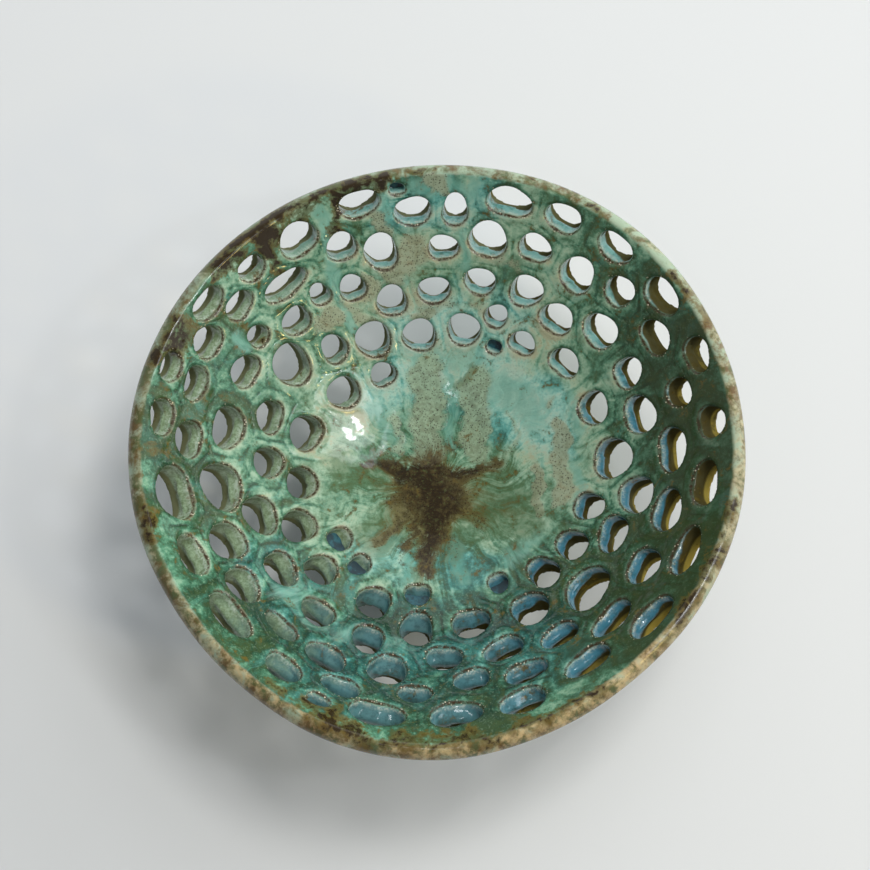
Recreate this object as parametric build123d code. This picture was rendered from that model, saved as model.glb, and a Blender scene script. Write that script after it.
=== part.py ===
"""Berry colander bowl of glazed stoneware, built from the forms a hand-builder lutes together.

The bowl stands on z = 0 with its axis on Z. Its inside is a parabola turned about Z, from the middle
of the floor up to the seat of the rim coil. The drain holes are oval, cut square to the wall.
"""
import math
import os

from build123d import *

# Bowl, in millimetres
MOUTH_RADIUS = 91.5  # inside radius at the top of the wall, where the coil sits
BOWL_DEPTH = 50.3  # inside, from the top of the wall to the middle of the floor
WALL_THICKNESS = 9.0  # of the wall and the floor
RIM_THICKNESS = 6.0  # at the top of the wall, which is thinned with the fingers
THINNING_FROM = 0.86  # share of the inside arc where the thinning starts
FLOOR_RADIUS = 30.0  # seam between the floor disc and the wall
COIL_HEIGHT = 2.4  # how far the rounded coil stands beyond the wall's top edge

# Foot
FOOT_HEIGHT = 9.0  # clear height under the middle of the floor
FOOT_RADIUS = 34.0  # outside, where it stands
FOOT_WIDTH = 5.0  # of the flat that it stands on, before the edges are rounded
FOOT_SPREAD = 1.5  # how much further out each side of the ring is at its root
FOOT_EDGE = 0.9  # radius of the two standing edges

# Glaze
POOL_DEPTH = 1.8  # glass standing in the middle of the floor
PIT_DEPTH = 4.8  # small pits that the glaze has closed
PLUG_THICKNESS = 1.5  # glass in the bottom of each pit

# Least clay left between two holes, and between a hole and the seams at both ends of the wall. Like the
# sizes of the holes, they are for a bowl of this size and go up and down with the length of its section.
LEAST_WEB = 1.3
LEAST_BORDER = 1.5

# The holes, each as its bearing in degrees, how far up the wall it is in hundredths of the way from the
# middle of the floor to the coil, its width round the bowl and its height up the wall. They rise from
# the floor to the rim in one slow spiral of about twenty to a turn.
FLOOR_TURN = [
    (116.5, 39, 8.5, 8.5), (136.5, 41.5, 11, 11), (160.5, 44.5, 12, 11.5), (182, 43, 11, 10.5),
    (200, 47, 11, 13), (219.5, 48, 11, 11.5), (243.5, 45, 11.5, 12), (262.5, 50, 11, 14),
    (282.5, 49, 12.5, 12), (304, 53.5, 13, 13), (317.5, 46, 10, 13.5), (332.5, 48.5, 10.5, 11.5),
    (348.5, 49.5, 9.5, 11), (80, 50, 11, 11), (97, 48, 11, 11.5), (114.5, 50.5, 11.5, 13),
]
LOWER_TURN = [
    (5, 57, 13, 14.5), (23.5, 55, 11, 11), (42, 55.5, 11, 9), (58, 52, 9, 8),
    (70, 56.5, 8, 8), (128.5, 54, 9, 10), (143, 60, 12.5, 15), (161, 57.5, 11, 9.5),
    (176, 54.5, 10, 11), (194, 59, 13.5, 12), (212.5, 60, 13, 11), (230.5, 60.5, 11.5, 10.5),
    (248, 59, 10.5, 11.5),
]
MIDDLE_TURN = [
    (15, 69, 13, 11.5), (27, 70.5, 10, 10.5), (40.5, 71, 12, 11.5), (52.5, 64.5, 12, 10),
    (64, 67.5, 11, 11), (77.5, 66, 11, 9), (91, 62, 11.5, 9), (104.5, 60.5, 10.5, 10.5),
    (114.5, 68.5, 9, 9.5), (123.5, 71.5, 7, 8), (133, 69, 10, 9.5), (143.5, 74.5, 8, 7.5),
    (153, 71.5, 11.5, 9.5), (169, 70, 14.5, 11.5), (185.5, 71, 15.5, 15.5), (256.5, 68.5, 12.5, 13.5),
    (272, 61.5, 12, 10), (290, 63, 13.5, 10), (305.5, 69.5, 13.5, 9), (321, 63, 17, 14.5),
    (340, 60.5, 13, 10.5), (352.5, 65.5, 12, 13.5),
]
UPPER_TURN = [
    (3.5, 78, 14.5, 10.5), (16, 84, 9.5, 10), (30, 84.5, 12, 10), (43.5, 84.5, 10.5, 10),
    (54, 80, 11.5, 12.5), (66, 81.5, 11, 9.5), (77.5, 80, 12.5, 13), (88.5, 76, 10, 9),
    (104.5, 77, 11, 13.5), (113.5, 82.5, 10, 10.5), (130, 80.5, 17, 8), (141.5, 86, 11, 8),
    (152.5, 87.5, 11.5, 9.5), (162, 85, 12, 8), (175, 83, 12, 10), (200.5, 73.5, 13, 13.5),
    (212.5, 76, 13.5, 11.5), (227, 75, 12.5, 7), (240.5, 73.5, 13.5, 10.5), (247.5, 82, 13, 8),
    (264.5, 77, 11, 7.5), (279, 72, 12, 9.5), (292.5, 76, 14.5, 9), (317.5, 79, 16.5, 9.5),
    (333, 76.5, 13.5, 11.5), (348, 77.5, 15, 10.5),
]
RIM_TURN = [
    (7, 93, 10.5, 10.5), (21.5, 95, 12, 9), (36, 95.5, 14, 10), (50, 95, 13, 9),
    (62.5, 94, 12, 10), (74.5, 93.5, 15.5, 10), (86, 88.5, 8.5, 11.5), (95.5, 88.5, 12, 10.5),
    (107, 94.5, 13.5, 9.5), (122, 91, 13.5, 11.5), (134, 92, 9.5, 8.5), (146, 95, 12.5, 8.5),
    (161.5, 96, 10.5, 7.5), (172, 93.5, 11.5, 9), (188, 88.5, 17.5, 14), (202.5, 88.5, 14, 10),
    (218, 88, 17.5, 11), (234.5, 88, 13, 10), (244.5, 91.5, 8, 5.5), (257, 88.5, 17.5, 11),
    (274, 86.5, 16.5, 11.5), (289, 88, 16, 11.5), (306, 86.5, 16, 10.5), (322, 91.5, 17.5, 10.5),
    (338.5, 89.5, 17.5, 9.5), (354, 90, 14.5, 10.5),
]
PITS = [
    (67, 47, 5.5, 5), (98.5, 97, 5.5, 4.5), (211.5, 36, 8.5, 8.5), (228, 36.5, 7, 8.5),
    (260.5, 37, 8.5, 8.5), (300, 38.5, 7, 8),
]

# The section of the bowl, in the XZ plane. A parabola from a level start is this three-point Bezier.
under_level = FOOT_HEIGHT
floor_level = under_level + WALL_THICKNESS
seat_level = floor_level + BOWL_DEPTH
inside = Bezier((0, 0, floor_level), (MOUTH_RADIUS / 2, 0, floor_level), (MOUTH_RADIUS, 0, seat_level))

# The outside keeps one wall thickness away along the normal, up to where the rim begins to thin
inner_seat = inside @ 1
top_slope = math.atan2(2 * BOWL_DEPTH, MOUTH_RADIUS)
up_the_wall = Vector(math.cos(top_slope), 0, math.sin(top_slope))


def outside_point(share):
    """The point of the outside across from a share of the inside arc."""
    climb = inside % share
    beyond = max(share - THINNING_FROM, 0) / (1 - THINNING_FROM)
    thickness = WALL_THICKNESS - (WALL_THICKNESS - RIM_THICKNESS) * beyond**2
    return inside @ share + Vector(climb.Z, 0, -climb.X) * thickness


outside_points = [outside_point(step / 16) for step in range(17)]
outer_seat = outside_points[-1]
outside = Spline(*outside_points, tangents=[(1, 0, 0), outer_seat - outside_point(0.995)])


def turned(*edges):
    """The solid that a closed outline in the XZ plane sweeps about Z."""
    return revolve(Face(Wire(list(edges))), Axis.Z, 360)


bowl = turned(inside, Line(inner_seat, outer_seat), outside, Line(inside @ 0, outside @ 0))
hollow = turned(inside, Line(inner_seat, (0, 0, seat_level)), Line((0, 0, seat_level), inside @ 0))
filled = turned(outside, Line(outer_seat, (0, 0, outer_seat.Z)), Line((0, 0, outer_seat.Z), outside @ 0))

# Floor disc and wall, parted at a round seam
seam = Cylinder(FLOOR_RADIUS, 3 * seat_level)
floor_disc = bowl & seam
wall = bowl - seam
seam_share = next(n / 1000 for n in range(1001) if (inside @ (n / 1000)).X >= FLOOR_RADIUS)
hole_scale = inside.length / 106.57  # the lists are for an inside arc of 106.57 mm


def place(bearing, percent, width, height):
    """A hole's bearing, its share of the arc kept clear of both seams, and its two radii."""
    border = hole_scale * (height / 2 + LEAST_BORDER) / inside.length
    share = min(max(percent / 100, seam_share + border), 1 - border)
    return bearing, share, hole_scale * width / 2, hole_scale * height / 2


def reach(hole, run, rise):
    """How far an oval hole reaches from its middle in the direction (run, rise)."""
    _, _, across, along = hole
    return across * along * math.hypot(run, rise) / math.hypot(along * run, across * rise)


def web_between(one, other):
    """Clay left between two holes, measured along the line between their middles on the inside."""
    turn = (other[0] - one[0] + 180) % 360 - 180
    radius = (inside @ ((one[1] + other[1]) / 2)).X
    run = math.radians(turn) * radius
    rise = (other[1] - one[1]) * inside.length
    return math.hypot(run, rise) - reach(one, run, rise) - reach(other, run, rise)


def spaced(wanted, kept):
    """Adds to kept each hole that leaves enough clay to those before it, so no two run together."""
    for hole in wanted:
        if all(web_between(hole, other) >= hole_scale * LEAST_WEB for other in kept):
            kept.append(hole)
    return kept


def oval(hole, start, finish):
    """An oval column square to the wall, from start to finish, both measured inward from its inside."""
    bearing, share, across, along = hole
    point = inside @ share
    climb = inside % share
    normal = Vector(-climb.Z, 0, climb.X)
    face = Plane(origin=point + normal * start, x_dir=(0, 1, 0), z_dir=normal) * Ellipse(across, along)
    return Rot(0, 0, bearing) * extrude(face, amount=finish - start)


pits = spaced([place(*row) for row in PITS], [])
turns = FLOOR_TURN + LOWER_TURN + MIDDLE_TURN + UPPER_TURN + RIM_TURN
holes = spaced([place(*row) for row in turns], list(pits))[len(pits):]
clear = WALL_THICKNESS
through = 2 * WALL_THICKNESS
cuts = [oval(hole, -through, clear) for hole in holes]
cuts += [oval(pit, -PIT_DEPTH, clear) for pit in pits]
pierced_wall = wall - cuts

# Rim coil, a rounded bead on the wall's top edge
coil_top = (inner_seat + outer_seat) / 2 + up_the_wall * COIL_HEIGHT
rim_coil = turned(ThreePointArc(inner_seat, coil_top, outer_seat), Line(outer_seat, inner_seat))

# Foot ring, up to the underside of the bowl
foot_inner = FOOT_RADIUS - FOOT_WIDTH
foot_top = outer_seat.Z
lean = FOOT_SPREAD * foot_top / FOOT_HEIGHT
foot_outline = Polyline(
    (foot_inner, 0, 0),
    (FOOT_RADIUS, 0, 0),
    (FOOT_RADIUS + lean, 0, foot_top),
    (foot_inner - lean, 0, foot_top),
    close=True,
)
foot_blank = turned(*foot_outline.edges())
standing_edges = foot_blank.edges().group_by(Axis.Z)[0]
foot_ring = fillet(standing_edges, FOOT_EDGE) - filled

# Glass: a level pool on the floor, and a plug in each pit
pool_box = Pos(0, 0, floor_level) * Cylinder(
    FLOOR_RADIUS, POOL_DEPTH, align=(Align.CENTER, Align.CENTER, Align.MIN)
)
glaze_pool = hollow & pool_box
glaze_plugs = Compound(children=[oval(pit, -PIT_DEPTH, PLUG_THICKNESS - PIT_DEPTH) for pit in pits])

os.makedirs("parts", exist_ok=True)
export_step(floor_disc, "parts/floor_disc.step")
export_step(pierced_wall, "parts/pierced_wall.step")
export_step(rim_coil, "parts/rim_coil.step")
export_step(foot_ring, "parts/foot_ring.step")
export_step(glaze_pool, "parts/glaze_pool.step")
export_step(glaze_plugs, "parts/glaze_plugs.step")
print(len(holes), "holes of", len(turns), "and", len(pits), "pits of", len(PITS))
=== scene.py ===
import bmesh
import bpy
import numpy as np
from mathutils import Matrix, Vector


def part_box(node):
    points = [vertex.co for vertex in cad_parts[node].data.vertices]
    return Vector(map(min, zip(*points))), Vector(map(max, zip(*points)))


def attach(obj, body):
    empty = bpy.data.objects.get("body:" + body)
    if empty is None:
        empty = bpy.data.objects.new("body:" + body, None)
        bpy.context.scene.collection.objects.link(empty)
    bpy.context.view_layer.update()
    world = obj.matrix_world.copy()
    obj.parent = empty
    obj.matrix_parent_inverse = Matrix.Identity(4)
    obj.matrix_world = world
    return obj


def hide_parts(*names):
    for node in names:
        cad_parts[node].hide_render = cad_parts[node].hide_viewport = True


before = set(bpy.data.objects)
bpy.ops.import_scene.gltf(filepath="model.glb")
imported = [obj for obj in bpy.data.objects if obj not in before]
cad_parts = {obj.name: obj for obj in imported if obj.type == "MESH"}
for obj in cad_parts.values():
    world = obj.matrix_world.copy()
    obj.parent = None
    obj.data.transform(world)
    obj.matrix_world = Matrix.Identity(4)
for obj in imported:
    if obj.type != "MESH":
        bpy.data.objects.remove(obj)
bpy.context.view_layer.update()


# Floor disc
# The dished bottom of the bowl, a slab of stoneware under a glossy turquoise glaze. The wall is luted
# round its edge and the glaze runs down over the seam, so the bowl reads as one body.
MM = 0.001
ROUND = 452  # steps round the bowl, the same on every clay piece so that the seams meet
BODY_CLAY = 9.0
RIM_CLAY = 6.0
THINNING_FROM = 0.9  # share of the way up from which the clay thins
FLOOR_RINGS = 44
# slow waves of the rim: how many there are, the bearing of a crest in degrees, and their size
RIM_WAVES = [(1, 90, 1.2), (2, 27, 0.77), (3, 30, 0.71), (4, -12, 0.47), (5, -23, 0.3)]
DRAWN_IN = 1.1  # how far the whole rim is drawn in
HOLE_TAPER = 0.004  # share of its size that a hole loses for each millimetre into the clay
GLAZE_COAT = 0.3  # thickness of the glaze on the sides of the holes
HOLE_LEAN = 0.2  # climb of a hole for each millimetre into the clay, cut nearer to level than square
PIT_LIMIT = 5.5  # a hole that ends before this depth is a pit
PUDDLE_RISE = 0.55  # how steeply the glaze that settled in the foot of a hole climbs into the clay
PUDDLE_END = (3.2, 1.8)  # depth at which the settled glaze begins to end, and over how far, furthest at -y


def corners(node):
    """Lowest and highest corner of a CAD node at rest, in millimetres."""
    return 1000 * np.array([list(corner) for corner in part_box(node)])


def node_triangles(node):
    """Corners of a CAD node's triangles in millimetres, as triangles by corners by axes."""
    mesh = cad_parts[node].data
    places = np.empty(3 * len(mesh.vertices))
    mesh.vertices.foreach_get("co", places)
    mesh.calc_loop_triangles()
    picks = np.empty(3 * len(mesh.loop_triangles), dtype=np.int32)
    mesh.loop_triangles.foreach_get("vertices", picks)
    return 1000 * places.reshape(-1, 3)[picks].reshape(-1, 3, 3)


wall_triangles = node_triangles("pierced_wall")
floor_level = corners("glaze_pool")[0][2]
floor_radius = corners("floor_disc")[1][0]
seat_level = corners("pierced_wall")[1][2]
wall_corners = wall_triangles.reshape(-1, 3)
mouth_radius = np.hypot(*wall_corners[wall_corners[:, 2] > seat_level - 0.01].T[:2]).max()
bowl_depth = seat_level - floor_level

radius_steps = np.linspace(0, 1.1 * mouth_radius, 4000)
height_steps = bowl_depth * (radius_steps / mouth_radius) ** 2
arc_steps = np.append(0, np.cumsum(np.hypot(np.diff(radius_steps), np.diff(height_steps))))
seat_arc = np.interp(mouth_radius, radius_steps, arc_steps)
seam_arc = np.interp(floor_radius, radius_steps, arc_steps)
bearings = (np.arange(ROUND) + 0.5) * 2 * np.pi / ROUND


def section(arc):
    """Radius, height and slope of the inside at an arc length from the middle of the floor.

    The inside is the parabola z = floor + depth (r / mouth)^2, measured along its own curve.
    """
    radius = np.interp(arc, arc_steps, radius_steps)
    height = floor_level + bowl_depth * (radius / mouth_radius) ** 2
    return radius, height, np.arctan(2 * bowl_depth * radius / mouth_radius**2)


def clay(arc):
    """Thickness of the clay square to the inside: even, then thinned as a square law towards the rim."""
    beyond = np.clip((arc / seat_arc - THINNING_FROM) / (1 - THINNING_FROM), 0, 1)
    return BODY_CLAY - (BODY_CLAY - RIM_CLAY) * beyond**2


def true_points(bearing, arc, deep):
    """Points at a bearing and an arc length, deep millimetres into the clay, on a perfectly round bowl."""
    radius, height, slope = section(arc)
    radius = radius + deep * np.sin(slope)
    height = height - deep * np.cos(slope)
    return np.stack(np.broadcast_arrays(radius * np.cos(bearing), radius * np.sin(bearing), height), axis=-1)


def thrown_points(bearing, arc, deep):
    """The same points as a hand leaves them.

    Slow waves that grow with the square of the way up pull the outline in and out, and shallow dents of
    about a sixth of a millimetre run over the clay.
    """
    up = arc / seat_arc
    dent = 0.17 * np.sin(9 * bearing + 0.11 * arc) * np.cos(0.19 * arc - 5 * bearing)
    points = true_points(bearing, arc, deep + dent * np.clip(1.2 * up, 0, 1))
    pull = sum(size * np.cos(count * (bearing - np.radians(peak))) for count, peak, size in RIM_WAVES)
    points[..., :2] += ((pull - DRAWN_IN) * up**2)[..., None] * np.stack(
        np.broadcast_arrays(np.cos(bearing), np.sin(bearing)), axis=-1
    )
    return points


def hole_walls(triangles):
    """Middle, half width, half height and depth of every hole and pit, from the CAD model's own walls.

    A triangle belongs to a hole if it faces along the clay and not through it. Triangles that share
    corners are the wall of one hole, whose reach round and up the bowl gives its two half sizes.
    """
    middle = triangles.mean(axis=1)
    facing = np.cross(triangles[:, 1] - triangles[:, 0], triangles[:, 2] - triangles[:, 0])
    facing /= np.maximum(np.linalg.norm(facing, axis=1, keepdims=True), 1e-9)
    arc, deep, slope = clay_place(middle)
    bearing = np.arctan2(middle[:, 1], middle[:, 0])
    through = np.stack([np.sin(slope) * np.cos(bearing), np.sin(slope) * np.sin(bearing), -np.cos(slope)], 1)
    along = np.abs((facing * through).sum(axis=1)) < 0.6
    kept = triangles[along & (arc > seam_arc + 0.7) & (arc < seat_arc - 0.7)]
    places, shared = np.unique(np.round(kept.reshape(-1, 3), 2), axis=0, return_inverse=True)
    shared = shared.reshape(-1, 3)
    group = np.arange(len(places))
    while True:
        least = group[shared].min(axis=1)
        joined = group.copy()
        np.minimum.at(joined, shared, least[:, None])
        joined = joined[joined]
        if (joined == group).all():
            break
        group = joined
    found = []
    for label in np.unique(group):
        ring = places[group == label]
        deep = clay_place(ring)[1]
        lip = ring[deep < deep.min() + 0.3]
        turn = np.arctan2(lip[:, 1].mean(), lip[:, 0].mean())
        height_arc = clay_place(lip)[0]
        place = true_points(turn, (height_arc.min() + height_arc.max()) / 2, 0.0)
        lean = section((height_arc.min() + height_arc.max()) / 2)[2]
        across = np.array([-np.sin(turn), np.cos(turn), 0])
        upward = np.array([np.cos(lean) * np.cos(turn), np.cos(lean) * np.sin(turn), np.sin(lean)])
        run, rise = (ring - place) @ across, (ring - place) @ upward
        place = place + across * (run.min() + run.max()) / 2 + upward * (rise.min() + rise.max()) / 2
        found.append((place, across, upward, np.ptp(run) / 2, np.ptp(rise) / 2, deep.max(), turn))
    return found


def clay_place(points):
    """Arc length, depth and slope of points in the clay, by walking to the foot of the normal."""
    reach = np.hypot(points[..., 0], points[..., 1])
    arc = np.interp(reach, radius_steps, arc_steps)
    for _ in range(8):
        radius, height, slope = section(arc)
        arc = arc + (reach - radius) * np.cos(slope) + (points[..., 2] - height) * np.sin(slope)
    radius, height, slope = section(arc)
    deep = (reach - radius) * np.sin(slope) - (points[..., 2] - height) * np.cos(slope)
    return arc, deep, slope


holes = hole_walls(wall_triangles)


def hole_gap(points, deep, floored=False):
    """Gap, ridge, side and flank of points: how far the nearest hole is, and where they lie round it.

    For an oval of half sizes a and b, with f = sqrt((x/a)^2 + (y/b)^2), the gap to its edge is close to
    f (f - 1) / sqrt((x/a^2)^2 + (y/b^2)^2), and below zero inside. Each oval is a little out of true, by
    waves of its own, and narrows and climbs into the clay as the blade left it, least at +y and +x. The
    ridge is how much further off the next hole is. The side runs from -1 at the foot of the hole to 1 at
    its head, and the flank from -1 to 1 towards +x. Glaze has settled in the foot of the hole, rising into
    the clay until it ends. A floored pit ends at its own depth.
    """
    gap = np.full(points.shape[:-1], 7.0)
    next_gap = np.full(points.shape[:-1], 11.0)
    side = np.zeros(points.shape[:-1])
    flank = np.zeros(points.shape[:-1])
    narrow = 1 - HOLE_TAPER * np.clip(deep, 0, None)
    for number, (place, across, upward, half_width, half_height, depth, turn) in enumerate(holes):
        near = ((points - place) ** 2).sum(axis=-1) < (max(half_width, half_height) + 9) ** 2
        offset = points[near] - place
        run, rise = offset @ across, offset @ upward
        lean = HOLE_LEAN * (1 - 0.85 * max(np.sin(turn), 0)) * (1 - 0.5 * max(np.cos(turn), 0))
        rise = rise - lean * np.clip(deep[near], 0, None)
        angle = np.arctan2(rise, run)
        wave = 0.045 * np.cos(3 * angle + 2.4 * number) + 0.035 * np.cos(2 * angle + 1.7 * number)
        wide = half_width * (1 + wave) * narrow[near] - GLAZE_COAT
        tall = half_height * (1 + wave) * narrow[near] - GLAZE_COAT
        share = np.hypot(run / wide, rise / tall) + 1e-6
        away = share * (share - 1) / (np.hypot(run / wide**2, rise / tall**2) + 1e-6)
        southern = max(-np.sin(turn), 0) * (1 - max(np.cos(turn), 0))
        ending = np.clip((deep[near] - PUDDLE_END[0] - 2.4 * southern) / PUDDLE_END[1], 0, 1)
        puddle = PUDDLE_RISE * np.clip(deep[near], 0, None) * (1 - ending**2 * (3 - 2 * ending))
        away = np.maximum(away, np.minimum(puddle, 0.5 * tall) - rise - tall)
        if floored and depth < PIT_LIMIT:
            away = np.maximum(away, deep[near] - depth)
        closer = away < gap[near]
        next_gap[near] = np.where(closer, gap[near], np.minimum(away, next_gap[near]))
        gap[near] = np.where(closer, away, gap[near])
        side[near] = np.where(closer, rise / tall, side[near])
        flank[near] = np.where(closer, run / wide * across[0], flank[near])
    return gap, next_gap - gap, np.clip(side, -1.5, 1.5), np.clip(flank, -1.5, 1.5)


def strokes(points, marks, taper=0.0):
    """Strength at each point of brush marks seen in plan, each a line of a width that fades as a bell curve.

    A mark is the plan x and y of its two ends, its half width and its strength, in millimetres. With a
    taper it thins towards its second end. The plan is bent by small waves, so no mark is quite straight.
    """
    plan = points[..., :2]
    east, north = plan[..., 0], plan[..., 1]
    plan = plan + 0.9 * np.stack([np.sin(0.42 * north + 0.13 * east), np.sin(0.37 * east - 0.16 * north)], -1)
    plan = plan + 0.45 * np.stack([np.sin(1.1 * north - 0.5 * east), np.sin(0.9 * east + 0.7 * north)], -1)
    strength = np.zeros(plan.shape[:-1])
    for start_x, start_y, end_x, end_y, width, force in marks:
        start = np.array([start_x, start_y])
        line = np.array([end_x, end_y]) - start
        share = np.clip(((plan - start) @ line) / max(line @ line, 1e-6), 0, 1)
        away = np.linalg.norm(plan - start - share[..., None] * line, axis=-1)
        reach = width * (1 - taper * share)
        strength = np.maximum(strength, force * (1 - 0.5 * taper * share) * np.exp(-((away / reach) ** 2)))
    return strength


BROWN_MARKS = [  # the dark pool and its arms
    (-2, -1, 5, -2, 11.8, 1), (1, -8, 0, -16, 9, 1), (-10, 4.5, -25, 7.2, 3.2, 0.85),
    (10, 3, 21, 7.4, 3.4, 0.55), (-2, -14, -4, -32, 4.6, 0.95), (-8, -8, -19, -20, 3.4, 0.55),
    (-7, -13, -12, -27, 2.6, 0.6), (-12, 4.5, 12, 4.5, 4.4, 1), (-8, 12.5, 10, 13.5, 6.5, 0.34),
    (9, -8, 17, -14, 4, 0.3),
]
AMBER_MARKS = [  # the amber skirt of the pool
    (0, -7, 2, -8, 21, 0.95), (-12, -9, -20, -19, 7, 1.3), (8, 33, 11, 37, 1.8, 1),
    (-17, 1, -31, 4.5, 7, 0.8), (16, -4, 24, -11, 10, 1.2), (-2, -20, -4, -31, 6, 0.75),
    (22, 6, 14, 2, 6, 0.65), (26, -14, 31, -17, 5, 0.5), (-34, 2, -38, 6, 4, 0.4),
]
PETAL_MARKS = [  # matte speckled panels above the pool
    (-3.5, 36, -3.4, 11, 6.8, 1), (13, 33, 13, 11.5, 5.8, 1), (-14, 22, -13, 12, 3, 0.6),
    (24, 22, 27, 15, 2.2, 0.6),
]
BARE_MARKS = [  # dry patches
    (40.6, 16.4, 41.4, -7, 3.4, 1), (33, 4, 34, -10, 2.2, 0.9), (-8.9, 71.5, -14, 67, 6, 1),
    (-37, 50, -35, 52, 4, 1), (-25, 61, -22, 62, 4.2, 0.9), (-1.7, 90, 1, 89, 3.4, 0.9),
    (-20, 79, -18, 77, 4, 0.8), (-6, 54, -3, 55, 3, 0.8), (-30, 56, -20, 50, 4, 0.6),
    (37, 26.5, 38, 24, 2, 0.6), (38, 48, 52, 40, 4, 0.4), (26, 66, 20, 70, 3.5, 0.5),
    (-52, 40, -48, 36, 3, 0.5), (12, 58, 18, 54, 3, 0.5), (-8, 60, 4, 56, 6, 0.5),
]
BURNT_MARKS = [  # dark places, most of them on the rim
    (-18, 91, -33, 85, 4, 1), (-32.4, 85, -33.3, 77, 2.2, 0.9), (-44, 79, -40, 84, 4, 0.85),
    (-47, 74, -56, 72, 3.4, 0.85), (-56, 69, -51, 65, 2.2, 1), (-51, 65, -50, 61.5, 1.6, 0.9),
    (-64, 64, -70, 61, 4.4, 1), (-81, 40, -83, 37, 5, 1), (-88, 30, -85, 34, 3.2, 0.9),
    (-85, -0.5, -93, 2, 2.4, 0.7), (-91, -18, -88, -29, 2.6, 0.8), (30, 90, 26, 91, 1.8, 0.8),
    (52, 78, 49, 80, 2, 0.8), (78, 52, 75, 56, 2, 0.8), (85, 42, 83, 46, 2, 0.8),
    (91, -18, 90, -22, 2.2, 0.8), (88, -35, 80, -50, 1.5, 0.6), (-33, -81, -30, -79, 2.6, 0.8),
    (-42, -80, -20, -91, 2.6, 0.8), (-20, -91, 16, -90, 2.8, 0.8), (-17, -86, -12, -88, 2.2, 0.7),
    (-52, -74, -42, -79, 2, 0.7), (-64, 46, -58, 42, 1.5, 0.6), (-20, 93, 0, 94, 1.4, 0.7),
    (-24, 92, -48, 81, 2.6, 0.9), (-48, 81, -68, 65, 2.6, 0.9), (90, -28, 72, -63, 2.2, 0.75),
    (16, -92, 60, -74, 2, 0.65),
]
STREAM_MARKS = [  # runs of pale turquoise
    (-38.6, 79.5, -34.7, 75, 2.6, 1), (-34.7, 75, -35.8, 68, 2.2, 1), (-35.8, 68, -32, 57, 2.2, 1),
    (-32, 57, -29, 50, 2, 1), (-16, 85, -15.5, 78, 2, 0.8), (9, 76, 8.8, 67, 2.4, 0.9),
    (-13.3, 63.6, -11, 63, 2.2, 0.9), (-7, 89, 12, 88, 4, 0.8), (-64, 42, -60, 40, 2.6, 0.8),
    (4.6, 34, 4.6, 14, 2.2, 0.9), (20, 32, 32, 23, 8, 0.9), (44, 26, 48, 16, 3, 0.7),
    (-6, 40, 12, 41, 5, 0.8), (-20, 24, -14, 14, 5, 0.7), (-16, -21, -19, -26, 2.4, 1),
    (-9, -25, -10, -32, 2, 1), (6, -22, 9, -33, 3.2, 1), (-50, -36, -40, -48, 6, 0.7),
    (-30, -54, -10, -58, 6, 0.6), (24, -26, 32, -20, 4, 0.7), (46, 4, 47, -12, 2.6, 0.8),
]
THICK_AND_SHADED_MARKS = [  # where the glaze lies thick, partly painted shade on the right and lower walls
    (78, -6, 70, 40, 17, 0.3), (52, -52, 68, -34, 24, 0.34), (-30, -70, 16, -74, 22, 0.36),
    (-20, -50, 36, -46, 14, 0.42), (-66, -44, -46, -62, 20, 0.32), (-84, 8, -80, -12, 14, 0.27),
    (-84, 30, -64, 20, 14, 0.14), (24, -30, 34, -24, 9, 0.24),
]
THIN_AND_LIT_MARKS = [  # where it lies thin, partly painted light on the upper wall
    (-16, 66, 20, 72, 18, 0.27), (-52, 36, -40, 46, 14, 0.16), (-24, -20, -14, -28, 9, 0.1),
    (8, -26, 18, -30, 8, 0.06), (42, 34, 52, 2, 13, 0.18), (-18, 52, 30, 50, 14, 0.52),
    (-34, 22, -22, 34, 12, 0.28), (20, 36, 36, 20, 12, 0.36), (-44, -4, -40, 10, 9, 0.08),
]
COOL_MARKS = [  # where it is bluer
    (-30, -62, 30, -60, 26, 0.7), (-14, 84, 14, 84, 10, 0.7), (-20, -24, 12, -30, 12, 0.7),
    (-58, -34, -44, -52, 18, 0.6), (18, 34, 36, 20, 15, 0.95), (-24, 28, 0, 40, 12, 0.7),
    (-6, 50, 24, 50, 13, 0.7),
]
RUN_RING = (38.0, 9.0, 0.19)  # where the glaze ran thin round the floor: radius, half width and how much


def tones(points, arc, deep):
    """The numbers that the glaze is coloured by, at points of the round bowl.

    They are the gap, ridge, side and flank of the nearest hole, the distance to its edges, how far through
    the clay the point is, and how strong each kind of mark is there.
    """
    gap, ridge, side, flank = hole_gap(points, deep)
    thick = clay(arc)
    edge = np.hypot(np.maximum(gap, 0), np.minimum(np.abs(deep), np.abs(thick - deep)))
    inside = np.clip(1 - deep / 2.5, 0, 1)
    reach = np.hypot(points[..., 0], points[..., 1])
    run_thin = RUN_RING[2] * np.exp(-(((reach - RUN_RING[0]) / RUN_RING[1]) ** 2))
    return {
        "gap": gap,
        "ridge": np.clip(ridge, 0, 4),
        "side": side,
        "flank": flank,
        "edge": np.where(gap < 5, edge, 5.0),
        "through": np.clip(deep / thick, 0, 1),
        "crest": np.clip((arc - seat_arc + 0.6) / 2.2, 0, 1),
        "brown": strokes(points, BROWN_MARKS, taper=0.5) * inside,
        "amber": strokes(points, AMBER_MARKS) * inside,
        "petal": strokes(points, PETAL_MARKS, taper=0.1) * inside,
        "bare": strokes(points, BARE_MARKS) * inside,
        "burnt": strokes(points, BURNT_MARKS) * np.clip(1.3 - deep / 5, 0, 1),
        "stream": strokes(points, STREAM_MARKS) * inside,
        "tide_and_shade": strokes(points, THICK_AND_SHADED_MARKS) - strokes(points, THIN_AND_LIT_MARKS) - run_thin,
        "cool": strokes(points, COOL_MARKS),
    }


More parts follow.
